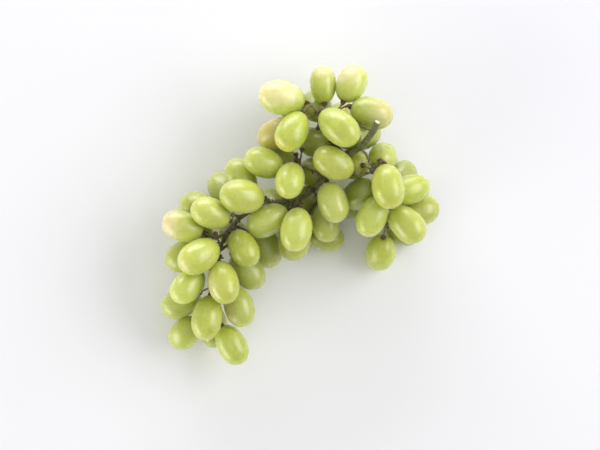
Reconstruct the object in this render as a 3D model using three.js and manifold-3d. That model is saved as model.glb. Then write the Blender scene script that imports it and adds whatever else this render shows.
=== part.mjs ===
// A picked bunch of white seedless grapes, lying on a table. Millimetres, +Z up, the table at z = 0.
//
// The stem grew as one piece: a cut stalk that runs on as the rachis, with side branches that end in
// knots, and a short pedicel from a knot to every berry. Each berry is a piece of its own. Branches and
// berries are set out by hand; the berries then settle against each other, the stem and the table.
import * as THREE from "three";
import { mergeVertices } from "three/addons/utils/BufferGeometryUtils.js";
import Module from "manifold-3d";

const wasm = await Module();
wasm.setup();

// ---- Driving dimensions ----

const BERRY_LENGTH = 27.5;
const BERRY_DIAMETER = 19;
const SIZE_SPREAD = 0.04; // how far a berry's length and width stray from the usual, as a share
const FULLNESS = 2.25; // 2 is an ellipse in outline, more is blunter
const EGG = 0.05; // how much wider the blossom end is, as a share

const GAP = 0.3; // between a berry and whatever it touches
const FOOT_DEPTH = 0.35; // how deep a berry that lies on the table is pressed flat

const STALK_RADIUS = 1.65; // at the cut end
const TAIL_RADIUS = 0.85; // at the rachis's far end
const NODE_SWELL = 0.35; // how far the rachis swells where a branch leaves it
const NODE_REACH = 5; // how far from the branch that swelling runs
const BRANCH_ROOT_RADIUS = 0.95;
const BRANCH_TIP_RADIUS = 0.8;
const KNOT_RADIUS = 1.5; // the swelling at a branch's end, where its pedicels start
const PEDICEL_ROOT_RADIUS = 0.75;
const PEDICEL_RADIUS = 0.6;
const PEDICEL_NECK_RADIUS = 0.68; // just before the receptacle
const PEDICEL_SHORTEST = 4.5;
const PEDICEL_LONGEST = 10.5;
const RECEPTACLE_RADIUS = 1.6; // the flared cap that carries the berry
const RECEPTACLE_RIM_RADIUS = 1.5;
const RECEPTACLE_HEIGHT = 1.9;
const RECEPTACLE_RIM_HEIGHT = 0.85; // from the widest place to the berry

// How finely each shape is faceted.
const BERRY_SIDES = 12;
const BERRY_RINGS = 8;
const RACHIS_SIDES = 7;
const RACHIS_STEPS = 27;
const BRANCH_SIDES = 5;
const BRANCH_STEP = 5.5; // millimetres
const PEDICEL_SIDES = 5;

// ---- Layout: x to the right, y away from the tail of the bunch, z up ----

// The line of the stalk and rachis, from the cut end down to the tail.
const RACHIS = [
  [47.5, 57, 62],
  [44, 50, 58],
  [37, 41.5, 51],
  [29, 37, 44],
  [19, 28, 37],
  [10, 18, 32],
  [-1, 10, 29],
  [-14, 8, 28],
  [-26, 4, 28],
  [-37, -1, 28],
  [-45, -10, 28],
  [-50, -20, 27],
  [-53, -31, 26],
  [-56, -44, 24],
  [-58, -55, 22],
];

// Side branches. Each leaves the rachis at the point given by its index there, or another branch at
// its knot, and ends in a knot of its own. A berry's numbers are its middle, the way its blossom end
// points, in degrees round from +X and up from level, and, where it isn't of the usual size, its size
// as a share of that. A bare pedicel is given by its tip.
const BRANCHES = {
  wing: {
    from: 0.8,
    via: [[33, 57, 50]],
    knot: [22, 64, 45],
    berries: [[31.8, 80.7, 44, 67, -10, 0.94], [43.7, 63.6, 47, -21, -4, 0.99]],
  },
  wing_under: {
    from: "wing",
    knot: [20, 61, 32],
    berries: [[27, 62, 12.6, 8, -70]],
  },
  wing_tip: {
    from: "wing",
    knot: [12, 63, 48],
    berries: [
      [15.1, 81, 40, 98, -12, 0.9],
      [10, 68.8, 25.5, 116, -70],
      [23.8, 53.7, 62, -41, 20, 1.05],
    ],
    bare: [[11, 53, 47]],
  },
  wing_left: {
    from: "wing_tip",
    knot: [7, 68, 48],
    berries: [[-4.8, 51.8, 58, -116, 22], [-11.1, 71.6, 52, 167, 20, 1.07]],
  },
  wing_back: {
    from: "wing_tip",
    knot: [-1, 59, 36],
    berries: [[-14.4, 51.1, 35, -154, -30], [-8.8, 73, 31, 124, -30]],
  },
  shoulder: {
    from: 3,
    knot: [20, 46, 36],
    berries: [
      [28.6, 49.1, 42.8, -8, 3, 0.97],
      [38.5, 50.4, 24, 22, -20],
      [10.1, 45.5, 22.8, 164, -41],
    ],
    bare: [[18, 42, 45]],
  },
  crown: {
    from: 4.5,
    via: [[10, 27, 38]],
    knot: [-0.5, 30, 40.5],
    berries: [
      [-6.3, 21.5, 51, -103, 36, 0.92],
      [-22.5, 32, 43, 154, 22, 0.98],
      [-12, 34.1, 23, 162, -40],
    ],
    bare: [[1.3, 41, 46], [-2.5, 38, 44], [-2.5, 34.5, 46]],
  },
  heart: {
    from: 4.7,
    knot: [14, 26, 43],
    berries: [[20.3, 7.8, 46, -74, 8, 0.98], [8.3, 25.9, 19.4, -163, -75]],
  },
  heart_low: {
    from: 5.2,
    knot: [12, 10, 27],
    berries: [[16.3, -4.6, 29.5, -86, 0, 0.9], [29.7, 7.9, 11.1, -8, -33]],
    bare: [[8, 16, 36]],
  },
  heart_under: {
    from: "heart_low",
    knot: [3, -2, 20],
    berries: [[15, -13.1, 10.8, -20, -6], [5, 8, 13, 50, -72]],
  },
  middle: {
    from: 6,
    knot: [-2, 7, 36],
    berries: [
      [-2.5, -8.9, 47, -99, 22, 1.05],
      [-20.1, -3.5, 38, -153, 10],
      [-3.6, -15.3, 27.5, -95, -22, 1.02],
    ],
    bare: [[-1, 16, 39]],
  },
  heart_left: {
    from: 7,
    knot: [-10, 2, 28],
    berries: [[-16, 7, 12.5, 140, -55]],
  },
  left_high: {
    from: 7.3,
    knot: [-20, 9, 36],
    berries: [[-36.1, 11.3, 48, 176, 16, 1.06]],
  },
  left_under: {
    from: 8.2,
    knot: [-26, 8.5, 31.5],
    berries: [[-37, 22.2, 32, 113, -4]],
  },
  left_low: {
    from: 9,
    knot: [-42, 0, 34],
    berries: [
      [-55.1, 1.1, 45, 160, 26],
      [-48.7, 15.6, 19, 118, -28, 0.98],
      [-62.9, 4.2, 26, 160, -22],
    ],
  },
  bend_out: {
    from: 10.2,
    knot: [-53, -14, 33.5],
    berries: [
      [-72.9, -6.9, 39, 163, 8],
      [-62.4, -25.6, 48, -148, 26, 1.04],
      [-72.3, -24.8, 28, -150, -12],
      [-66.5, -12, 12.8, 178, -60],
    ],
    bare: [[-52.5, -11.5, 42]],
  },
  bend_in: {
    from: 10,
    knot: [-41, -8, 32],
    berries: [[-34.9, -20.5, 42, -63, 20, 0.94]],
  },
  bend_under: {
    from: 9.6,
    knot: [-32, -11, 22],
    berries: [[-21.9, -20.1, 11, -72, -12]],
  },
  bend_low: {
    from: 11.2,
    knot: [-45, -19, 29],
    berries: [[-33.4, -35.1, 24, -48, -8], [-42, -13, 12.5, 120, -58]],
  },
  tail_high: {
    from: 12,
    knot: [-50, -26, 35],
    berries: [[-47.7, -41.8, 45, -76, 24]],
  },
  tail_left: {
    from: 12.3,
    knot: [-57, -33, 32],
    berries: [[-70, -44.3, 38, -132, 28]],
  },
  tail_side: {
    from: 12.6,
    knot: [-45, -38, 29],
    berries: [[-38.3, -57.5, 30, -72, 4, 0.97]],
  },
  tail_low: {
    from: 13,
    knot: [-55, -45, 31],
    berries: [[-58, -64.1, 38, -99, 14, 1.02], [-75.1, -55.3, 24, -150, -14, 0.98]],
  },
  tail_end: {
    from: 14,
    knot: [-56, -62, 22],
    berries: [
      [-72.2, -74.3, 15, -130, -34, 0.97],
      [-43.1, -81.8, 24, -62, 0],
      [-57.4, -70.7, 10, -88, -18],
    ],
  },
  right: {
    from: 2,
    via: [[42, 36, 49]],
    knot: [45.5, 27, 46],
    berries: [
      [51.5, 35.8, 30, 38, -72, 0.95],
      [37.6, 13.2, 32.1, -146, -47],
      [33.8, 31.8, 33.5, 173, -63],
    ],
  },
  right_in: {
    from: "right",
    knot: [39, 25, 48],
    berries: [[20.7, 31.8, 53, 152, 12, 1.02]],
  },
  right_top: {
    from: "right",
    knot: [48, 31, 47],
    berries: [[54.3, 17.4, 56, -81, 16, 1.04]],
  },
  right_low: {
    from: "right",
    knot: [54, 10, 38],
    berries: [
      [44.6, -0.4, 44, -113, 6, 0.95],
      [66.5, -5.6, 43, -47, 14, 1.03],
      [67.9, 15.6, 39, 16, -22],
      [62.6, 23.4, 21, 52, -32],
    ],
  },
  right_end: {
    from: "right_low",
    knot: [54, -6, 26],
    berries: [
      [51.3, -23.5, 12.2, -98, -46, 0.98],
      [74.9, 2.1, 23, 19, -12],
      [66.4, -7.3, 13.5, -45, -24],
    ],
  },
};

// ---- Small helpers ----

const vector = ([x, y, z]) => new THREE.Vector3(x, y, z);

/** Repeatable random numbers from 0 to 1, so that every build grows the same bunch. */
function seededRandom(seed) {
  let state = seed;
  return () => {
    state = (state * 1664525 + 1013904223) % 2 ** 32;
    return state / 2 ** 32;
  };
}

/** A closed geometry as a manifold-3d solid: corners merged, and triangles with no area dropped. */
function solidOf(geometry) {
  const bare = geometry.clone();
  bare.deleteAttribute("normal");
  bare.deleteAttribute("uv");
  const merged = mergeVertices(bare, 1e-4);
  const corners = merged.index.array;
  const kept = [];
  for (let i = 0; i < corners.length; i += 3) {
    const [a, b, c] = [corners[i], corners[i + 1], corners[i + 2]];
    if (a !== b && b !== c && c !== a) kept.push(a, b, c);
  }
  const vertProperties = new Float32Array(merged.attributes.position.array);
  return new wasm.Manifold(
    new wasm.Mesh({ numProp: 3, vertProperties, triVerts: new Uint32Array(kept) }),
  );
}

/** A manifold-3d solid as a geometry for a mesh. */
function geometryOf(solid) {
  const mesh = solid.getMesh();
  const geometry = new THREE.BufferGeometry();
  geometry.setAttribute("position", new THREE.BufferAttribute(mesh.vertProperties, 3));
  geometry.setIndex(new THREE.BufferAttribute(mesh.triVerts, 1));
  const flat = geometry.toNonIndexed();
  flat.computeVertexNormals();
  return flat;
}

// ---- A berry: its outline, and the balls that fill it while it settles ----

/** A berry's radius, as a share of its half width, at t: -1 is the stem end and 1 the blossom end. */
function berryOutline(t) {
  return Math.sqrt(Math.max(0, 1 - Math.abs(t) ** FULLNESS)) * (1 + EGG * t);
}

/** A berry with its stem end at -Y and its blossom end at +Y. */
function berryGeometry(halfLength, radius) {
  const profile = [];
  for (let ring = 0; ring <= BERRY_RINGS; ring += 1) {
    const t = -Math.cos((Math.PI * ring) / BERRY_RINGS);
    profile.push(new THREE.Vector2(berryOutline(t) * radius, t * halfLength));
  }
  return new THREE.LatheGeometry(profile, BERRY_SIDES);
}

const BALL_PLACES = [-0.6, -0.32, 0, 0.32, 0.6]; // along a berry, as shares of its half length
const OUTLINE_SAMPLES = 200;

/** The largest ball that fits inside a berry round each of those places on its axis. */
function ballsInside(halfLength, radius) {
  return BALL_PLACES.map((place) => {
    let least = Infinity;
    for (let i = 0; i <= OUTLINE_SAMPLES; i += 1) {
      const t = (2 * i) / OUTLINE_SAMPLES - 1;
      least = Math.min(least, Math.hypot((t - place) * halfLength, berryOutline(t) * radius));
    }
    return { along: place * halfLength, radius: least };
  });
}

/** The ball past the stem end that keeps room for the receptacle. */
function receptacleBall(halfLength) {
  return { along: -(halfLength + GAP + RECEPTACLE_RIM_HEIGHT), radius: RECEPTACLE_RADIUS };
}

// ---- Settling ----

// A berry is steered by two points on its axis, `root` towards the stem end and `tip` towards the
// blossom end, each `reach` from its middle.

const SETTLE_ROUNDS = 700;
const FREE_ROUNDS = 140; // the last ones, when nothing pulls the berries home any more
const HOLD_PLAN = 0.06; // how firmly a berry keeps its place seen from above, each round
const HOLD_HEIGHT = 0.02; // and its height, which gives way first
const HOLD_PEDICEL = 0.2;

/** Moves the point at `along` on a berry's axis by `push`, by moving the two that steer it. */
function nudge(berry, along, push) {
  const share = along / (2 * berry.reach);
  const [toRoot, toTip] = [0.5 - share, 0.5 + share];
  const weight = toRoot ** 2 + toTip ** 2;
  berry.root.addScaledVector(push, toRoot / weight);
  berry.tip.addScaledVector(push, toTip / weight);
}

/** The point at `along` on a berry's axis, measured from its middle towards the blossom end. */
function pointOn(berry, along) {
  return new THREE.Vector3().lerpVectors(berry.root, berry.tip, 0.5 + along / (2 * berry.reach));
}

/** The way a berry points, from its stem end to its blossom end. */
function heading(berry) {
  return berry.tip.clone().sub(berry.root).normalize();
}

/** Pulls a berry back to where it was set out, and its stem end to within a pedicel of its knot. */
function drawHome(berry, ease) {
  for (const [end, home] of [[berry.root, berry.rootHome], [berry.tip, berry.tipHome]]) {
    end.x += (home.x - end.x) * HOLD_PLAN * ease;
    end.y += (home.y - end.y) * HOLD_PLAN * ease;
    end.z += (home.z - end.z) * HOLD_HEIGHT * ease;
  }
  const stemEnd = pointOn(berry, -berry.halfLength);
  const toKnot = berry.knot.clone().sub(stemEnd);
  const length = toKnot.length();
  const wanted = THREE.MathUtils.clamp(length, PEDICEL_SHORTEST, PEDICEL_LONGEST);
  const pull = ((length - wanted) / length) * HOLD_PEDICEL;
  nudge(berry, -berry.halfLength, toKnot.multiplyScalar(pull));
}

/** Pushes two berries apart wherever their balls are closer than the gap. */
function partBerries(one, other) {
  const between = pointOn(one, 0).distanceTo(pointOn(other, 0));
  if (between > one.halfLength + other.halfLength + 2 * RECEPTACLE_HEIGHT) return;
  for (const ball of one.balls) {
    for (const rival of other.balls) {
      const apart = pointOn(one, ball.along).sub(pointOn(other, rival.along));
      const distance = apart.length();
      const overlap = ball.radius + rival.radius + GAP - distance;
      if (overlap <= 0) continue;
      apart.multiplyScalar((0.5 * overlap) / distance);
      nudge(one, ball.along, apart);
      nudge(other, rival.along, apart.negate());
    }
  }
}

/** Pushes a berry off the balls that stand for the stem, which never give way. */
function clearStem(berry, stemBalls) {
  for (const block of stemBalls) {
    for (const ball of berry.balls) {
      const apart = pointOn(berry, ball.along).sub(block.at);
      const distance = apart.length();
      const overlap = ball.radius + block.radius + GAP - distance;
      if (overlap > 0) nudge(berry, ball.along, apart.multiplyScalar(overlap / distance));
    }
  }
}

/** Lifts a berry that has gone deeper into the table than its flattened foot does. */
function clearTable(berry) {
  for (const ball of berry.balls) {
    const sunk = ball.radius - FOOT_DEPTH - pointOn(berry, ball.along).z;
    if (sunk > 0) nudge(berry, ball.along, new THREE.Vector3(0, 0, sunk));
  }
}

/** Restores the distance between the two points that a berry is steered by. */
function keepLength(berry) {
  const middle = pointOn(berry, 0);
  const half = berry.tip.clone().sub(middle).setLength(berry.reach);
  berry.tip.copy(middle).add(half);
  berry.root.copy(middle).sub(half);
}

function settle(berries, stemBalls) {
  for (let round = 0; round < SETTLE_ROUNDS; round += 1) {
    const ease = Math.max(0, 1 - round / (SETTLE_ROUNDS - FREE_ROUNDS));
    for (const berry of berries) drawHome(berry, ease);
    berries.forEach((one, i) => berries.slice(i + 1).forEach((other) => partBerries(one, other)));
    for (const berry of berries) {
      clearStem(berry, stemBalls);
      clearTable(berry);
      keepLength(berry);
    }
  }
}

// ---- Stem ----

const rachisCurve = new THREE.CatmullRomCurve3(RACHIS.map(vector));

/** The rachis's radius at a share of its length: it tapers, and swells where branches leave it. */
function rachisRadius(share, branches) {
  const here = rachisCurve.getPointAt(share);
  const toNearest = Math.min(...branches.map((branch) => branch.root.distanceTo(here)));
  const swell = NODE_SWELL * Math.max(0, 1 - toNearest / NODE_REACH);
  return THREE.MathUtils.lerp(STALK_RADIUS, TAIL_RADIUS, share) + swell;
}

/** A round solid along a curve, through stations that give [share of its length, radius]. */
function tube(curve, stations, sides) {
  const last = stations.length - 1;
  const profile = [[stations[0][0], 0], ...stations, [stations[last][0], 0]];
  const geometry = new THREE.LatheGeometry(
    profile.map(([share, radius]) => new THREE.Vector2(radius, share)),
    sides,
  );
  let side = new THREE.Vector3(1, 2, 3).normalize(); // any way that no curve starts out in
  const frames = profile.map(([share]) => {
    const ahead = curve.getTangentAt(share);
    side = side.clone().addScaledVector(ahead, -side.dot(ahead)).normalize();
    return { at: curve.getPointAt(share), side, across: ahead.clone().cross(side) };
  });
  const position = geometry.attributes.position;
  for (let i = 0; i < position.count; i += 1) {
    const frame = frames[i % profile.length];
    const bent = frame.at.clone();
    bent.addScaledVector(frame.across, position.getX(i));
    bent.addScaledVector(frame.side, position.getZ(i));
    position.setXYZ(i, bent.x, bent.y, bent.z);
  }
  return geometry;
}

/** The branches, each with its curve from its root to its knot. */
function layBranches() {
  const laid = {};
  for (const [name, { from, via = [], knot, berries, bare = [] }] of Object.entries(BRANCHES)) {
    const onRachis = typeof from === "number";
    const root = onRachis ? rachisCurve.getPoint(from / (RACHIS.length - 1)) : laid[from].knot;
    const end = vector(knot);
    const curve = new THREE.CatmullRomCurve3([root, ...via.map(vector), end]);
    laid[name] = { root, knot: end, curve, berries, bareTips: bare.map(vector) };
  }
  return Object.values(laid);
}

const STEM_BALL_SPACING = 2.2;

/** Balls along a curve, for the berries to keep clear of. */
function ballsAlong(curve, radius) {
  const steps = Math.ceil(curve.getLength() / STEM_BALL_SPACING);
  const places = Array.from({ length: steps + 1 }, (_, i) => curve.getPointAt(i / steps));
  return places.map((at) => ({ at, radius }));
}

const ROUTE_POINTS = 6;
const ROUTE_ROUNDS = 120;
const ROUTE_SLACK = 0.4; // how far a point moves each round towards midway between its neighbours
const ROUTE_CLEARANCE = PEDICEL_ROOT_RADIUS + 2 * GAP;
const STRAIGHT_END = 2.4; // the last stretch, which runs straight into the berry

/** A pedicel's line from its knot to its foot on a berry, bent clear of the berries. */
function pedicelCurve(knot, foot, inward, berries) {
  const bendEnd = foot.clone().addScaledVector(inward, -STRAIGHT_END);
  const points = Array.from({ length: ROUTE_POINTS - 1 }, (_, i) =>
    knot.clone().lerp(bendEnd, i / (ROUTE_POINTS - 2)),
  );
  points.push(foot);
  const near = berries.filter((berry) => pointOn(berry, 0).distanceTo(foot) < 2 * BERRY_LENGTH);
  for (let round = 0; round < ROUTE_ROUNDS; round += 1) {
    for (let i = 1; i < ROUTE_POINTS - 2; i += 1) {
      const midway = points[i - 1].clone().lerp(points[i + 1], 0.5);
      points[i].lerp(midway, ROUTE_SLACK);
      for (const berry of near) {
        for (const ball of berry.flesh) {
          const apart = points[i].clone().sub(pointOn(berry, ball.along));
          const overlap = ball.radius + ROUTE_CLEARANCE - apart.length();
          if (overlap > 0) points[i].addScaledVector(apart.normalize(), overlap);
        }
      }
    }
  }
  return new THREE.CatmullRomCurve3(points);
}

/** A pedicel that flares into the receptacle at its foot. */
function pedicelGeometry(curve) {
  const length = curve.getLength();
  const neck = 1 - RECEPTACLE_HEIGHT / length;
  const stations = [
    [0, PEDICEL_ROOT_RADIUS],
    [neck / 2, PEDICEL_RADIUS],
    [neck, PEDICEL_NECK_RADIUS],
    [1 - RECEPTACLE_RIM_HEIGHT / length, RECEPTACLE_RADIUS],
    [1, RECEPTACLE_RIM_RADIUS],
  ];
  return tube(curve, stations, PEDICEL_SIDES);
}

function rachisGeometry(branches) {
  const shares = Array.from({ length: RACHIS_STEPS + 1 }, (_, i) => i / RACHIS_STEPS);
  const stations = shares.map((share) => [share, rachisRadius(share, branches)]);
  return tube(rachisCurve, stations, RACHIS_SIDES);
}

function branchGeometry(curve) {
  const steps = Math.max(2, Math.round(curve.getLength() / BRANCH_STEP));
  const shares = Array.from({ length: steps + 1 }, (_, i) => i / steps);
  const radiusAt = (share) => THREE.MathUtils.lerp(BRANCH_ROOT_RADIUS, BRANCH_TIP_RADIUS, share);
  return tube(curve, shares.map((share) => [share, radiusAt(share)]), BRANCH_SIDES);
}

/** The rachis, branches, knots and pedicels, joined into one body. */
function stemGeometry(branches, berries) {
  const pieces = [rachisGeometry(branches)];
  for (const { curve, knot, bareTips } of branches) {
    pieces.push(branchGeometry(curve));
    pieces.push(new THREE.IcosahedronGeometry(KNOT_RADIUS, 0).translate(...knot));
    for (const tip of bareTips) {
      const outward = tip.clone().sub(knot).normalize();
      pieces.push(pedicelGeometry(pedicelCurve(knot, tip, outward, berries)));
    }
  }
  for (const berry of berries) {
    const foot = pointOn(berry, -(berry.halfLength + GAP));
    pieces.push(pedicelGeometry(pedicelCurve(berry.knot, foot, heading(berry), berries)));
  }
  return geometryOf(pieces.map(solidOf).reduce((whole, piece) => whole.add(piece)));
}

// ---- Berries, hung on their branches ----

/** The direction that lies `turn` degrees round from +X and `rise` degrees up from level. */
function pointing(turn, rise) {
  const [round, up] = [turn, rise].map((angle) => THREE.MathUtils.degToRad(angle));
  return new THREE.Vector3(
    Math.cos(round) * Math.cos(up),
    Math.sin(round) * Math.cos(up),
    Math.sin(up),
  );
}

/** A berry as it is set out, before it settles. */
function hangBerry([x, y, z, turn, rise, size = 1], knot, random) {
  const stray = () => size * (1 + SIZE_SPREAD * (2 * random() - 1));
  const halfLength = (BERRY_LENGTH / 2) * stray();
  const radius = (BERRY_DIAMETER / 2) * stray();
  const reach = halfLength / 2;
  const middle = new THREE.Vector3(x, y, z);
  const away = pointing(turn, rise);
  const rootHome = middle.clone().addScaledVector(away, -reach);
  const tipHome = middle.clone().addScaledVector(away, reach);
  const flesh = ballsInside(halfLength, radius);
  const balls = [...flesh, receptacleBall(halfLength)];
  const [root, tip] = [rootHome.clone(), tipHome.clone()];
  return { knot, halfLength, radius, reach, flesh, balls, rootHome, tipHome, root, tip };
}

const skin = () => new THREE.MeshStandardMaterial({ color: 0xb4c860, roughness: 0.35 });
const wood = () => new THREE.MeshStandardMaterial({ color: 0x6a5638, roughness: 0.75 });

const TABLE_WIDTH = 4 * BERRY_LENGTH; // of the block that cuts a foot flat, and well over a berry
const TABLE_DEPTH = BERRY_LENGTH;

/** A berry's mesh, with its foot cut flat where it lies on the table. */
function berryMesh(berry, name) {
  const mesh = new THREE.Mesh(berryGeometry(berry.halfLength, berry.radius), skin());
  mesh.name = name;
  mesh.position.copy(pointOn(berry, 0));
  mesh.quaternion.setFromUnitVectors(new THREE.Vector3(0, 1, 0), heading(berry));
  mesh.updateMatrix();
  const table = new THREE.BoxGeometry(TABLE_WIDTH, TABLE_WIDTH, TABLE_DEPTH);
  table.translate(mesh.position.x, mesh.position.y, -TABLE_DEPTH / 2);
  table.applyMatrix4(mesh.matrix.clone().invert());
  mesh.geometry = geometryOf(solidOf(mesh.geometry).subtract(solidOf(table)));
  return mesh;
}

// ---- The bunch ----

const branches = layBranches();
const random = seededRandom(7);
const berries = branches.flatMap((branch) =>
  branch.berries.map((berry) => hangBerry(berry, branch.knot, random)),
);
const stemBalls = [
  ...ballsAlong(rachisCurve, STALK_RADIUS),
  ...branches.flatMap((branch) => ballsAlong(branch.curve, BRANCH_ROOT_RADIUS)),
  ...branches.map((branch) => ({ at: branch.knot, radius: KNOT_RADIUS })),
];
settle(berries, stemBalls);

const laid = new THREE.Group();
const stem = new THREE.Mesh(stemGeometry(branches, berries), wood());
stem.name = "stem";
laid.add(stem);
berries.forEach((berry, i) => {
  laid.add(berryMesh(berry, `grape_${String(i + 1).padStart(2, "0")}`));
});

// The origin is on the table, under the middle of the bunch's outline.
const middle = new THREE.Box3().setFromObject(laid, true).getCenter(new THREE.Vector3());
laid.position.set(-middle.x, -middle.y, 0);

const bunch = new THREE.Group();
bunch.add(laid);

export default bunch;
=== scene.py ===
"""The looks of a picked bunch of white grapes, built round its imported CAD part.

Each berry's skin is a fine mesh laid over its CAD berry, and the stem is the CAD stem remeshed,
smoothed and given bark. Lengths are in millimetres while a mesh is being shaped and in metres
once it is a Blender object.
"""

import heapq
import math

import bpy
import numpy as np
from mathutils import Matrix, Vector, noise
from mathutils.bvhtree import BVHTree
from mathutils.kdtree import KDTree


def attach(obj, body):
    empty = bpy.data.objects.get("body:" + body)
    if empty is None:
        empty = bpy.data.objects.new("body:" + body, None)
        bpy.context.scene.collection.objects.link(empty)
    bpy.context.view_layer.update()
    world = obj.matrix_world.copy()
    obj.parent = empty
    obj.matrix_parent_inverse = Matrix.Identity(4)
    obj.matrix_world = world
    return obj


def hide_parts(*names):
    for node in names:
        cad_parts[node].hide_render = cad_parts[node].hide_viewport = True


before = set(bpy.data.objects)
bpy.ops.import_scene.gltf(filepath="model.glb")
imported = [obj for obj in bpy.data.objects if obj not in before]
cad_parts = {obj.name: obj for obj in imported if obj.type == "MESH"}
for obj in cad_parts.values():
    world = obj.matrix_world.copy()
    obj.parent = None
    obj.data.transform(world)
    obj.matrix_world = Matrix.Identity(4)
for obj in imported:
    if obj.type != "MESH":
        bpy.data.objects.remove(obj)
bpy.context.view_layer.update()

MM = 0.001

# The CAD berry's outline, as in part.mjs.
FULLNESS = 2.25
EGG = 0.05

BERRY_SIDES = 56
BERRY_RINGS = 40

# The bare pedicels' tips, in the CAD frame.
BARE_TIPS = [
    (10.95, 53.5, 47),
    (17.95, 42.5, 45),
    (1.25, 41.5, 46),
    (-2.55, 38.5, 44),
    (-2.55, 35.0, 46),
    (7.95, 16.5, 36),
    (-1.05, 16.5, 39),
    (-52.55, -11.0, 42),
]


# ---- Small helpers ----


def smooth_step(value, low, high):
    """0 below low, 1 above high, and a smooth rise between."""
    share = np.clip((value - low) / (high - low), 0, 1)
    return share * share * (3 - 2 * share)


def unit(vector):
    return vector / np.linalg.norm(vector)


def points_of(mesh):
    """A mesh's vertices in millimetres, one row each."""
    flat = np.empty(len(mesh.vertices) * 3)
    mesh.vertices.foreach_get("co", flat)
    return flat.reshape(-1, 3) / MM


def add_numbers(mesh, name, values):
    """Keeps one number for each vertex, for the material to read."""
    mesh.attributes.new(name, "FLOAT", "POINT").data.foreach_set(
        "value", np.asarray(values, dtype=np.float32)
    )


def add_vectors(mesh, name, values):
    """Keeps three numbers for each vertex, for the material to read."""
    mesh.attributes.new(name, "FLOAT_VECTOR", "POINT").data.foreach_set(
        "vector", np.asarray(values, dtype=np.float32).ravel()
    )


def new_piece(name, points, faces, material, slot, *nodes):
    """A smooth-shaded piece that rides on the root and stands for CAD nodes."""
    mesh = bpy.data.meshes.new(name)
    mesh.from_pydata((np.asarray(points) * MM).tolist(), [], faces)
    mesh.shade_smooth()
    mesh.materials.append(material)
    piece = bpy.data.objects.new(name, mesh)
    bpy.context.scene.collection.objects.link(piece)
    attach(piece, "root")
    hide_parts(*nodes)
    return piece


# ---- Shader building ----


class Shader:
    """A material's node tree, built up with short calls."""

    def __init__(self, name):
        self.material = bpy.data.materials.new(name)
        self.material.use_nodes = True
        self.tree = self.material.node_tree
        self.surface = self.tree.nodes["Principled BSDF"]

    def node(self, kind, links=None, **settings):
        made = self.tree.nodes.new(kind)
        for key, value in settings.items():
            setattr(made, key, value)
        for socket, source in (links or {}).items():
            self.feed(made.inputs[socket], source)
        return made

    def feed(self, socket, source):
        """Links a socket to another node's output, or sets it to a plain value."""
        if isinstance(source, bpy.types.NodeSocket):
            self.tree.links.new(source, socket)
        else:
            socket.default_value = source

    def number(self, name):
        return self.node("ShaderNodeAttribute", attribute_name=name).outputs["Fac"]

    def vector(self, name):
        return self.node("ShaderNodeAttribute", attribute_name=name).outputs["Vector"]

    def math(self, operation, first, second=0.0):
        made = self.node("ShaderNodeMath", {0: first, 1: second}, operation=operation)
        return made.outputs[0]

    def stretch(self, vector, scale):
        made = self.node("ShaderNodeVectorMath", {0: vector, 1: scale}, operation="MULTIPLY")
        return made.outputs[0]

    def scaled(self, vector, factor):
        links = {0: vector, "Scale": factor}
        return self.node("ShaderNodeVectorMath", links, operation="SCALE").outputs[0]

    def noise(self, vector, scale, detail=3.0, roughness=0.5):
        links = {"Vector": vector, "Scale": scale, "Detail": detail, "Roughness": roughness}
        return self.node("ShaderNodeTexNoise", links).outputs["Fac"]

    def spots(self, vector, scale):
        """How far each place is from the nearest of a scatter of points, in cells."""
        made = self.node("ShaderNodeTexVoronoi", {"Vector": vector, "Scale": scale})
        return made.outputs["Distance"]

    def remap(self, value, low, high, to_low=0.0, to_high=1.0):
        """Eases from one number to another as a value goes from low to high."""
        links = {0: value, 1: low, 2: high, 3: to_low, 4: to_high}
        made = self.node("ShaderNodeMapRange", links, interpolation_type="SMOOTHSTEP")
        return made.outputs[0]

    def mix(self, share, first, second):
        """A blend of two colours: all first at share 0, all second at share 1."""
        made = self.node("ShaderNodeMix", data_type="RGBA")
        self.feed(made.inputs[0], share)
        self.feed(made.inputs[6], first)
        self.feed(made.inputs[7], second)
        return made.outputs[2]

    def bump(self, height, distance, strength=1.0, before=None):
        links = {"Height": height, "Distance": distance, "Strength": strength}
        if before is not None:
            links["Normal"] = before
        return self.node("ShaderNodeBump", links).outputs["Normal"]


DEEP_FLESH = (0.435, 0.520, 0.028, 1)
CLEAR_FLESH = (0.525, 0.580, 0.060, 1)
RIPE_FLESH = (0.600, 0.595, 0.092, 1)
CLOUDED = (0.62, 0.69, 0.20, 1)
VEIN = (0.61, 0.74, 0.28, 1)
BLOSSOM_END = (0.60, 0.61, 0.10, 1)
MILKY = (0.61, 0.69, 0.25, 1)
PAINTED_LIGHT_CREAM = (0.86, 0.75, 0.47, 1)
AMBER_BLUSH = (0.68, 0.56, 0.13, 1)
SPECK = (0.80, 0.84, 0.52, 1)
SCAR = (0.16, 0.085, 0.03, 1)
COLLAR = (0.42, 0.40, 0.09, 1)


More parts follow.
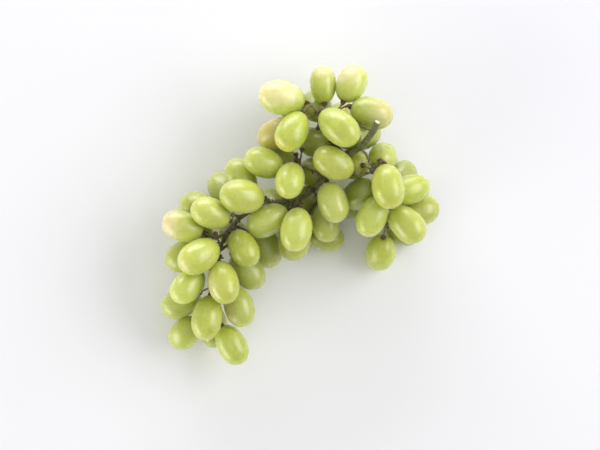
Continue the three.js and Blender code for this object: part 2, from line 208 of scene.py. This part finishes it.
def skin_material():
    """Translucent green flesh under a thin skin with a waxy bloom, with painted light on some lit
    sides and painted shade on berries under others.
    """
    shader = Shader("grape_skin")
    grain = shader.vector("grain")
    tone = shader.number("tone")
    along = shader.number("along")

    clouds = shader.noise(grain, 0.11, 2.0)
    mottle = shader.noise(grain, 0.45, 4.0, 0.6)
    veins = shader.noise(shader.stretch(grain, (1.0, 1.0, 0.12)), 0.62, 3.0, 0.55)
    specks = shader.spots(grain, 0.62)

    colour = shader.mix(shader.remap(clouds, 0.3, 0.7), DEEP_FLESH, CLEAR_FLESH)
    colour = shader.mix(shader.math("MULTIPLY", tone, 0.5), colour, RIPE_FLESH)
    colour = shader.mix(shader.remap(mottle, 0.45, 0.75, 0.0, 0.25), colour, CLOUDED)
    colour = shader.mix(shader.remap(veins, 0.52, 0.72, 0.0, 0.34), colour, VEIN)
    colour = shader.mix(shader.remap(along, 0.55, 1.0, 0.0, 0.35), colour, BLOSSOM_END)
    colour = shader.mix(shader.number("milk"), colour, MILKY)
    # Painted light: a pale cream on the sides of some berries that face the lamps.
    colour = shader.mix(shader.number("painted_light"), colour, PAINTED_LIGHT_CREAM)
    colour = shader.mix(shader.number("amber"), colour, AMBER_BLUSH)
    colour = shader.mix(shader.remap(specks, 0.05, 0.13, 0.35, 0.0), colour, SPECK)
    scar_edge = shader.math("ADD", shader.number("scar"), shader.math("MULTIPLY", mottle, 0.5))
    colour = shader.mix(shader.remap(scar_edge, 0.55, 0.95, 0.85, 0.0), colour, SCAR)
    collar_edge = shader.math("ADD", shader.number("collar"), shader.math("MULTIPLY", mottle, 1.2))
    colour = shader.mix(shader.remap(collar_edge, 2.2, 4.2, 0.45, 0.0), colour, COLLAR)
    # Painted shade: berries that lie under others are darkened, on top of a random tone.
    colour = shader.scaled(colour, shader.number("depth"))
    shader.feed(shader.surface.inputs["Base Color"], colour)

    bloom = shader.noise(grain, 0.2, 5.0, 0.65)
    shader.feed(shader.surface.inputs["Roughness"], shader.remap(bloom, 0.3, 0.7, 0.20, 0.33))
    fine = shader.noise(grain, 2.4, 2.0)
    normal = shader.bump(mottle, 0.00012, 0.5)
    shader.feed(shader.surface.inputs["Normal"], shader.bump(fine, 0.00003, 0.4, normal))

    for socket, value in {
        "IOR": 1.42,
        "Specular IOR Level": 0.8,
        "Coat Weight": 0.85,
        "Coat Roughness": 0.5,
        "Coat IOR": 1.6,
        "Subsurface Weight": 0.92,
        "Subsurface Radius": (1.0, 0.95, 0.38),
        "Subsurface Scale": 0.012,
        "Sheen Weight": 0.15,
        "Sheen Roughness": 0.45,
        "Sheen Tint": (1.0, 0.97, 0.88, 1),
    }.items():
        shader.surface.inputs[socket].default_value = value
    return shader.material


# Each kind of bark is a mottle of two colours.
GREEN_BARK = (0.095, 0.112, 0.040, 1), (0.185, 0.198, 0.076, 1)
WOODY_BARK = (0.080, 0.055, 0.020, 1), (0.300, 0.235, 0.095, 1)
CORKY_BARK = (0.042, 0.016, 0.006, 1), (0.150, 0.062, 0.022, 1)
CUT_WOOD = (0.74, 0.64, 0.42, 1), (0.90, 0.82, 0.62, 1)
FIBRE = (0.24, 0.22, 0.10, 1)
PATCH = (0.33, 0.33, 0.14, 1)
WART = (0.27, 0.185, 0.085, 1)


def bark_material():
    """Green stalk that turns brown and corky towards the berries, with a pale cut face."""
    shader = Shader("stem")
    grain = shader.vector("grain")
    thick = shader.number("thick")
    tip = shader.number("tip")

    clouds = shader.noise(grain, 0.22, 3.0)
    patches = shader.noise(grain, 0.55, 2.0)
    fibres = shader.noise(grain, 1.6, 4.0, 0.65)
    warts = shader.spots(grain, 1.1)

    green = shader.mix(shader.remap(clouds, 0.35, 0.65), *GREEN_BARK)
    green = shader.mix(shader.remap(fibres, 0.4, 0.7, 0.0, 0.5), green, FIBRE)
    woody = shader.mix(shader.remap(fibres, 0.35, 0.65), *WOODY_BARK)
    corky = shader.mix(shader.remap(fibres, 0.35, 0.65), *CORKY_BARK)
    slender = shader.remap(thick, 0.75, 1.5, 1.6, 0.0)
    colour = shader.mix(shader.math("MULTIPLY", slender, clouds), green, woody)
    colour = shader.mix(shader.remap(patches, 0.5, 0.62, 0.0, 0.5), colour, PATCH)
    colour = shader.mix(shader.remap(tip, 1.6, 3.6, 0.95, 0.0), colour, corky)
    colour = shader.mix(shader.remap(warts, 0.10, 0.24, 0.7, 0.0), colour, WART)
    cut = shader.mix(shader.remap(fibres, 0.3, 0.7), *CUT_WOOD)
    colour = shader.mix(shader.number("cut"), colour, cut)
    shader.feed(shader.surface.inputs["Base Color"], colour)

    shader.feed(shader.surface.inputs["Roughness"], shader.remap(fibres, 0.3, 0.7, 0.42, 0.7))
    normal = shader.bump(fibres, 0.00025, 0.6)
    wart_height = shader.remap(warts, 0.05, 0.3, 1.0, 0.0)
    shader.feed(shader.surface.inputs["Normal"], shader.bump(wart_height, 0.0002, 0.5, normal))
    shader.surface.inputs["Subsurface Weight"].default_value = 0.08
    shader.surface.inputs["Subsurface Radius"].default_value = (1.0, 0.8, 0.3)
    shader.surface.inputs["Subsurface Scale"].default_value = 0.0008
    return shader.material


# ---- Berries ----


def read_berry(node, stem_points):
    """A CAD berry's middle, heading from stem end to blossom end, half length and radius."""
    points = np.unique(np.round(points_of(node.data), 3), axis=0)
    apart = np.linalg.norm(points[:, None] - points[None], axis=2)
    first, second = np.unravel_index(apart.argmax(), apart.shape)
    ends = [points[first], points[second]]
    ends.sort(key=lambda end: np.linalg.norm(stem_points - end, axis=1).min())
    middle = (ends[0] + ends[1]) / 2
    heading = unit(ends[1] - ends[0])
    offsets = points - middle
    across = np.linalg.norm(offsets - np.outer(offsets @ heading, heading), axis=1)
    return middle, heading, apart.max() / 2, across.max()


def cross_axes(heading):
    """Two directions square to a heading."""
    aside = unit(np.cross(heading, (0.31, -0.22, 0.92)))
    return aside, np.cross(heading, aside)


STEM_DIMPLE = 0.55  # how deep the skin dips round the receptacle
STEM_DIMPLE_RADIUS = 2.6
SCAR_DIMPLE = 0.18
SCAR_DIMPLE_RADIUS = 1.2
FAR = 9.0  # further than a dimple, a scar or a collar spreads
WAVES = 5  # how many random ripples shape a berry
WAVE_HEIGHT = 0.11  # each one's height
BEND = 0.35  # how far a berry's middle may stray from straight
COVER_REACH = 26  # how far aside a berry still covers a lower one
FULL_COVER = 1.8  # the cover at which a berry takes the full painted shade
PAINTED_SHADE_UNDER = 0.26  # how much painted shade darkens a berry lying under others, standing also for its deeper flesh
MOST_MILK = 0.32  # how milky the flesh can be under its bloom

# Where a berry takes a tint on one side: the way it faces, how wide it spreads (-1 all over, 1 a
# point) and how strong it is. The cream is painted light on sides that face the lamps; the amber
# is blush.
LIT_SIDE_CREAM = {
    "grape_01": ((-0.3, 0.9, 0.4), 0.2, 0.55),
    "grape_02": ((0.8, -0.1, 0.5), 0.1, 0.40),
    "grape_04": ((0.2, 0.9, 0.4), 0.3, 0.50),
    "grape_08": ((-0.2, 0.6, 0.8), 0.0, 0.55),
    "grape_10": ((-0.5, 0.5, 0.7), 0.2, 0.60),
    "grape_32": ((-0.9, 0.1, 0.4), 0.2, 0.75),
    "grape_40": ((-0.9, -0.1, 0.3), 0.4, 0.45),
    "grape_42": ((-0.9, -0.4, 0.3), 0.4, 0.45),
    "grape_33": ((-0.8, -0.4, 0.4), 0.5, 0.30),
}
AMBER = {
    "grape_09": ((-0.3, 0.3, 0.8), -0.7, 0.75),
    "grape_07": ((-0.6, -0.8, 0.2), 0.55, 0.70),
    "grape_32": ((-0.8, 0.6, 0.3), 0.5, 0.35),
    "grape_02": ((0.7, 0.5, 0.5), 0.5, 0.30),
}


def covers(berries):
    """How far each berry lies under others, which sets its painted shade: 0 is open, 1 is hidden.
    """
    middles = np.array([middle for middle, *_ in berries])
    offsets = middles[None] - middles[:, None]
    near = np.clip(1 - np.linalg.norm(offsets[..., :2], axis=2) / COVER_REACH, 0, 1)
    above = smooth_step(offsets[..., 2], 2.0, 12.0)
    return np.clip((near * above).sum(axis=1) / FULL_COVER, 0, 1)


def blush_and_painted_light(name, table, facing, mottle):
    """How much each point of a berry takes of a one-sided tint: amber blush, or cream painted
    light on a lamp-facing side.
    """
    if name not in table:
        return np.zeros(len(facing))
    way, spread, strength = table[name]
    facing_it = facing @ unit(np.array(way)) + 0.25 * mottle
    return strength * smooth_step(facing_it, spread, spread + 0.7)


def berry_grid():
    """Where a berry's points lie, pole to pole: -1 to 1 along it, and the turn round it."""
    rings = -np.cos(np.pi * np.arange(1, BERRY_RINGS) / BERRY_RINGS)
    turns = 2 * np.pi * np.arange(BERRY_SIDES) / BERRY_SIDES
    along, turn = (grid.ravel() for grid in np.meshgrid(rings, turns, indexing="ij"))
    return np.concatenate([[-1.0], along, [1.0]]), np.concatenate([[0.0], turn, [0.0]])


def berry_faces():
    """The faces of a berry: fans at its two poles, and bands between its rings of points."""
    last = 1 + (BERRY_RINGS - 1) * BERRY_SIDES
    last_ring = last - BERRY_SIDES
    faces = []
    for side in range(BERRY_SIDES):
        after = (side + 1) % BERRY_SIDES
        faces.append((0, after + 1, side + 1))
        for here in range(1, last_ring, BERRY_SIDES):
            beyond = here + BERRY_SIDES
            faces.append((here + side, here + after, beyond + after, beyond + side))
        faces.append((last_ring + side, last_ring + after, last))
    return faces


def ripples(facing, random):
    """A few random waves over a berry, added up."""
    height = np.zeros(len(facing))
    for _ in range(WAVES):
        way = unit(random.normal(size=3))
        height += np.sin(facing @ way * random.uniform(1.5, 3.4) + random.uniform(0, 2 * np.pi))
    return height


def dimple(from_middle, depth, radius):
    return depth * np.clip(1 - (from_middle / radius) ** 2, 0, 1) ** 2


def make_berry(name, shape, cover, material, index):
    """A berry's skin, with the numbers that its material reads."""
    middle, heading, half_length, radius = shape
    random = np.random.default_rng(4000 + index)
    aside, upward = cross_axes(heading)

    along, turn = berry_grid()
    width = np.sqrt(1 - np.abs(along) ** FULLNESS) * (1 + EGG * along) * radius
    local = np.stack([width * np.cos(turn), width * np.sin(turn), along * half_length], axis=1)
    facing = local / (radius, radius, half_length)
    local[:, :2] *= (1 + ripples(facing, random) * WAVE_HEIGHT / radius / 2)[:, None]
    bend_turn = random.uniform(0, 2 * np.pi)
    bend = random.uniform(0.2, 1.0) * BEND * (0.5 - along**2)
    local[:, 0] += bend * math.cos(bend_turn)
    local[:, 1] += bend * math.sin(bend_turn)
    from_stem = np.where(along < 0, width, FAR)
    from_scar = np.where(along > 0, width, FAR)
    local[:, 2] += dimple(from_stem, STEM_DIMPLE, STEM_DIMPLE_RADIUS)
    local[:, 2] -= dimple(from_scar, SCAR_DIMPLE, SCAR_DIMPLE_RADIUS)

    axes = np.stack([aside, upward, heading])
    points = middle + local @ axes
    points[:, 2] = np.maximum(points[:, 2], 0)

    piece = new_piece(name + "_skin", points, berry_faces(), material, "grape_skin", name)
    mesh = piece.data
    world_facing = facing @ axes
    mottle = np.array([noise.noise(Vector(p * 0.25 + index)) for p in local])
    add_vectors(mesh, "grain", local + random.uniform(-500, 500, size=3))
    add_numbers(mesh, "tone", np.full(len(points), random.uniform(0, 1)))
    add_numbers(mesh, "milk", np.full(len(points), random.uniform(0, MOST_MILK)))
    # Painted shade: the flesh darkens with how far the berry lies under others, times a random
    # tone.
    depth = (1 - PAINTED_SHADE_UNDER * cover) * random.uniform(0.93, 1.12)
    add_numbers(mesh, "depth", np.full(len(points), depth))
    add_numbers(mesh, "along", along)
    # Painted light: cream laid on the berry's lamp-facing side.
    add_numbers(mesh, "painted_light", blush_and_painted_light(name, LIT_SIDE_CREAM, world_facing, mottle))
    add_numbers(mesh, "amber", blush_and_painted_light(name, AMBER, world_facing, mottle))
    add_numbers(mesh, "scar", from_scar)
    add_numbers(mesh, "collar", from_stem)


# ---- Stem ----

VOXEL = 0.36
SMOOTHING_ROUNDS = 4
BARK_GROWTH = 0.10  # makes up for what smoothing takes away
STALK_GROWTH = 0.35  # and more where it is thick
LUMP_HEIGHT = 0.22
STOUT = 2.0  # half the stem's thickness where a ray finds no far side
CUT_REACH = 5  # how far the cut face spreads from its top


def remeshed_stem(node):
    """The CAD stem as an even, smoothed mesh."""
    mesh = node.data.copy()
    scratch = bpy.data.objects.new("scratch", mesh)
    bpy.context.scene.collection.objects.link(scratch)
    weld = scratch.modifiers.new("weld", "WELD")
    weld.merge_threshold = 1e-6
    remesh = scratch.modifiers.new("remesh", "REMESH")
    remesh.mode = "VOXEL"
    remesh.voxel_size = VOXEL * MM
    smooth = scratch.modifiers.new("smooth", "SMOOTH")
    smooth.factor = 0.5
    smooth.iterations = SMOOTHING_ROUNDS
    result = bpy.data.meshes.new_from_object(
        scratch.evaluated_get(bpy.context.evaluated_depsgraph_get())
    )
    bpy.data.objects.remove(scratch)
    return result


def geodesic(points, edges, start):
    """Each point's distance from a start point, over the mesh's edges."""
    neighbours = [[] for _ in points]
    lengths = np.linalg.norm(points[edges[:, 0]] - points[edges[:, 1]], axis=1)
    for (one, other), length in zip(edges.tolist(), lengths.tolist()):
        neighbours[one].append((other, length))
        neighbours[other].append((one, length))
    distance = np.full(len(points), np.inf)
    distance[start] = 0
    queue = [(0.0, start)]
    while queue:
        here, point = heapq.heappop(queue)
        if here > distance[point]:
            continue
        for other, length in neighbours[point]:
            if here + length < distance[other]:
                distance[other] = here + length
                heapq.heappush(queue, (here + length, other))
    return distance


CAP_SIDES = 14
# A receptacle's profile: (distance from the berry's skin, radius). Below 0 is inside the berry.
CAP_PROFILE = [
    (2.3, 0.6),
    (1.9, 0.85),
    (1.45, 1.35),
    (1.0, 1.75),
    (0.55, 1.72),
    (0.15, 1.5),
    (-0.5, 1.2),
]


def tube_faces(base, rings, sides):
    """Faces of a closed tube made of rings of points, the first of which is numbered base."""
    faces = [tuple(base + side for side in range(sides))[::-1]]
    for ring in range(rings - 1):
        here = base + ring * sides
        for side in range(sides):
            after = (side + 1) % sides
            faces.append((here + side, here + after, here + sides + after, here + sides + side))
    last = base + (rings - 1) * sides
    faces.append(tuple(last + side for side in range(sides)))
    return faces


def cap(foot, heading, random):
    """A lumpy receptacle where a pedicel meets a berry: points and faces."""
    aside, upward = cross_axes(heading)
    turns = 2 * np.pi * np.arange(CAP_SIDES) / CAP_SIDES
    lumps = 1 + 0.07 * np.sin(3 * turns + random.uniform(0, 6)) + 0.05 * np.sin(
        5 * turns + random.uniform(0, 6)
    )
    points = []
    for back, radius in CAP_PROFILE:
        for turn, lump in zip(turns, lumps):
            out = math.cos(turn) * aside + math.sin(turn) * upward
            points.append(foot - back * heading + radius * lump * out)
    return points, tube_faces(0, len(CAP_PROFILE), CAP_SIDES)


STUBS = 90  # dried remains of pedicels that bore nothing
STUB_SPACING = 2.6
BARE_STALK = 32  # the smooth end of the stalk, which has no stubs
STUB_SIDES = 8


def clear_of(berries, point, margin):
    """Whether a point keeps a margin to every berry."""
    for middle, heading, half_length, radius in berries:
        offset = point - middle
        along = offset @ heading
        aside = np.linalg.norm(offset - along * heading)
        if (along / (half_length + margin)) ** 2 + (aside / (radius + margin)) ** 2 < 1:
            return False
    return True


def stubs(points, normals, allowed, berries, random):
    """Short dried stubs on the bark, away from the berries: their points and faces."""
    made, faces, taken = [], [], []
    turns = 2 * np.pi * np.arange(STUB_SIDES) / STUB_SIDES
    for start in random.permutation(np.flatnonzero(allowed)):
        if len(taken) == STUBS:
            break
        root, way = points[start], normals[start]
        length = random.uniform(0.7, 2.3)
        if any(np.linalg.norm(root - other) < STUB_SPACING for other in taken):
            continue
        if not clear_of(berries, root + (length + 0.4) * way, 0.5):
            continue
        taken.append(root)
        way = unit(way + 0.3 * random.normal(size=3))
        aside, upward = cross_axes(way)
        width = random.uniform(0.30, 0.46)
        # (distance from the bark, share of the width)
        profile = [
            (-0.5, 1.5),
            (0.2, 1.1),
            (0.7 * length, 0.9),
            (length, 1.35),
            (length + 0.25, 0.8),
        ]
        faces += tube_faces(len(made), len(profile), STUB_SIDES)
        for out, share in profile:
            for turn in turns:
                side = math.cos(turn) * aside + math.sin(turn) * upward
                made.append(root + out * way + width * share * random.uniform(0.85, 1.15) * side)
    return made, faces


def half_thickness(mesh, points, normals):
    """Half the stem's thickness under each point."""
    tree = BVHTree.FromPolygons(points.tolist(), [tuple(face.vertices) for face in mesh.polygons])
    thick = np.full(len(points), STOUT)
    for i, (point, normal) in enumerate(zip(points, normals)):
        hit = tree.ray_cast(Vector(point - 0.05 * normal), Vector(-normal), 8)
        if hit[3] is not None:
            thick[i] = hit[3] / 2
    return thick


def distance_to(places, points):
    """Each point's distance from the nearest of some places."""
    tree = KDTree(len(places))
    for i, place in enumerate(places):
        tree.insert(Vector(place), i)
    tree.balance()
    return np.array([tree.find(Vector(point))[2] for point in points])


def cut_face(points, normals, along):
    """Which points are on the stalk's cut face, its highest place."""
    top = points[points[:, 2].argmax()]
    middle = points[along < 2.5].mean(axis=0)
    down_stalk = unit(points[(along > 4) & (along < 7)].mean(axis=0) - middle)
    return (normals @ -down_stalk > 0.55) & (np.linalg.norm(points - top, axis=1) < CUT_REACH)


def roughened(points, normals, thick, cut):
    """The stem's points moved out to give it back its girth and some lumps."""
    growth = BARK_GROWTH + STALK_GROWTH * smooth_step(thick, 1.0, 1.5)
    moved = np.empty_like(points)
    for i, (point, normal) in enumerate(zip(points, normals)):
        lump = 0.8 * noise.noise(Vector(point * 0.5)) + noise.noise(Vector(point * 1.5))
        moved[i] = point if cut[i] else point + normal * (growth[i] + LUMP_HEIGHT * lump)
    return moved


def joined(parts):
    """Parts, each of points, faces and three numbers for its points, as one of the same."""
    all_points, all_faces, columns = [], [], ([], [], [])
    count = 0
    for points, faces, *numbers in parts:
        all_points.append(np.array(points))
        all_faces += [tuple(count + i for i in face) for face in faces]
        for column, number in zip(columns, numbers):
            column.append(np.broadcast_to(number, len(points)))
        count += len(points)
    return np.concatenate(all_points), all_faces, *(np.concatenate(column) for column in columns)


def make_stem(node, berries, material):
    """The stem with its bark, a receptacle at each berry, and dried stubs."""
    mesh = remeshed_stem(node)
    points = points_of(mesh)
    normals = np.empty(len(points) * 3)
    mesh.vertices.foreach_get("normal", normals)
    normals = normals.reshape(-1, 3)
    edges = np.empty(len(mesh.edges) * 2, dtype=int)
    mesh.edges.foreach_get("vertices", edges)
    edges = edges.reshape(-1, 2)
    faces = [tuple(face.vertices) for face in mesh.polygons]

    feet = [
        (middle + (STEM_DIMPLE - half_length) * heading, heading)
        for middle, heading, half_length, _ in berries
    ]
    thick = half_thickness(mesh, points, normals)
    tip = distance_to([foot for foot, _ in feet] + BARE_TIPS, points)
    along = geodesic(points, edges, int(points[:, 2].argmax()))
    cut = cut_face(points, normals, along)
    points = roughened(points, normals, thick, cut)

    # Each part's last three are its distance from a tip, half thickness and share of cut face.
    random = np.random.default_rng(77)
    parts = [(points, faces, tip, thick, cut.astype(float))]
    for foot, heading in feet:
        parts.append((*cap(foot, heading, random), 0.0, 1.5, 0.0))
    bare = (tip > 3.5) & (along > BARE_STALK)
    parts.append((*stubs(points, normals, bare, berries, random), 1.9, 0.6, 0.0))
    points, faces, tip, thick, cut = joined(parts)

    piece = new_piece("stem_bark", points, faces, material, "stem", "stem")
    add_vectors(piece.data, "grain", points)
    add_numbers(piece.data, "tip", tip)
    add_numbers(piece.data, "thick", thick)
    add_numbers(piece.data, "cut", cut)
    bpy.data.meshes.remove(mesh)


# ---- Stage, light and camera ----

CAMERA_OVER = (-0.05, -5.75)  # the point that the camera looks straight down on
CAMERA_HEIGHT = 1300
CAMERA_LENS = 121.4
FLOOR_HALF = 6.0  # metres
FLOOR_DROP = 0.0001  # keeps the floor clear of the berries' flat feet
SKY_STRENGTH = 0.30
# Softboxes: name, azimuth, elevation, distance and size in metres, watts and colour.
LIGHTS = [
    ("key", 22, 40, 2.5, (1.2, 1.1), 4.5, (1.0, 0.97, 1.0)),
    ("window", 12, 36, 2.5, (2.6, 1.5), 38, (0.99, 0.98, 1.04)),
    ("back", 100, 14, 1.6, (1.8, 0.7), 20, (0.99, 0.97, 1.10)),
    ("rim", 212, 11, 1.6, (1.7, 0.8), 18, (1.0, 0.99, 0.92)),
    ("overhead", 90, 90, 2.5, (3.3, 3.3), 13, (1.0, 1.0, 0.98)),
]


def add_area_light(name, azimuth, elevation, distance, size, strength, colour):
    """A softbox that faces the bunch. Azimuth 0 is to the right and 90 is up in the picture."""
    around, up = math.radians(azimuth), math.radians(elevation)
    way = Vector((math.cos(around) * math.cos(up), math.sin(around) * math.cos(up), math.sin(up)))
    light = bpy.data.lights.new(name, "AREA")
    light.shape = "RECTANGLE"
    light.size, light.size_y = size
    light.energy = strength
    light.color = colour
    lamp = bpy.data.objects.new(name, light)
    lamp.location = way * distance
    lamp.rotation_mode = "QUATERNION"
    lamp.rotation_quaternion = (-way).to_track_quat("-Z", "Y")
    lamp.visible_camera = False
    bpy.context.scene.collection.objects.link(lamp)


def add_floor():
    corners = [(-1, -1), (1, -1), (1, 1), (-1, 1)]
    mesh = bpy.data.meshes.new("floor")
    mesh.from_pydata([(x * FLOOR_HALF, y * FLOOR_HALF, 0) for x, y in corners], [], [(0, 1, 2, 3)])
    floor = bpy.data.objects.new("floor", mesh)
    floor.location.z = -FLOOR_DROP
    bpy.context.scene.collection.objects.link(floor)
    shader = Shader("floor")
    position = shader.node("ShaderNodeNewGeometry").outputs["Position"]
    paper = shader.noise(position, 3.0, 2.0)
    colour = shader.mix(
        shader.remap(paper, 0.3, 0.7), (0.93, 0.935, 0.94, 1), (0.94, 0.942, 0.944, 1)
    )
    shader.feed(shader.surface.inputs["Base Color"], colour)
    shader.surface.inputs["Roughness"].default_value = 0.7
    shader.surface.inputs["Specular IOR Level"].default_value = 0.1
    mesh.materials.append(shader.material)


def add_world():
    world = bpy.data.worlds.new("studio")
    world.use_nodes = True
    background = world.node_tree.nodes["Background"]
    background.inputs["Color"].default_value = (1.0, 1.0, 1.0, 1)
    background.inputs["Strength"].default_value = SKY_STRENGTH
    bpy.context.scene.world = world


def add_camera():
    camera = bpy.data.objects.new("camera", bpy.data.cameras.new("camera"))
    camera.data.lens = CAMERA_LENS
    camera.location = (CAMERA_OVER[0] * MM, CAMERA_OVER[1] * MM, CAMERA_HEIGHT * MM)
    bpy.context.scene.collection.objects.link(camera)
    bpy.context.scene.camera = camera


skin = skin_material()
bark = bark_material()
stem_points = points_of(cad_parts["stem"].data)
grapes = sorted(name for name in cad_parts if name.startswith("grape_"))
berries = [read_berry(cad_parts[name], stem_points) for name in grapes]
for index, (name, shape, cover) in enumerate(zip(grapes, berries, covers(berries))):
    make_berry(name, shape, cover, skin, index)
make_stem(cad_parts["stem"], berries, bark)

add_floor()
add_world()
for light in LIGHTS:
    add_area_light(*light)
add_camera()
bpy.context.scene.view_settings.view_transform = "Standard"
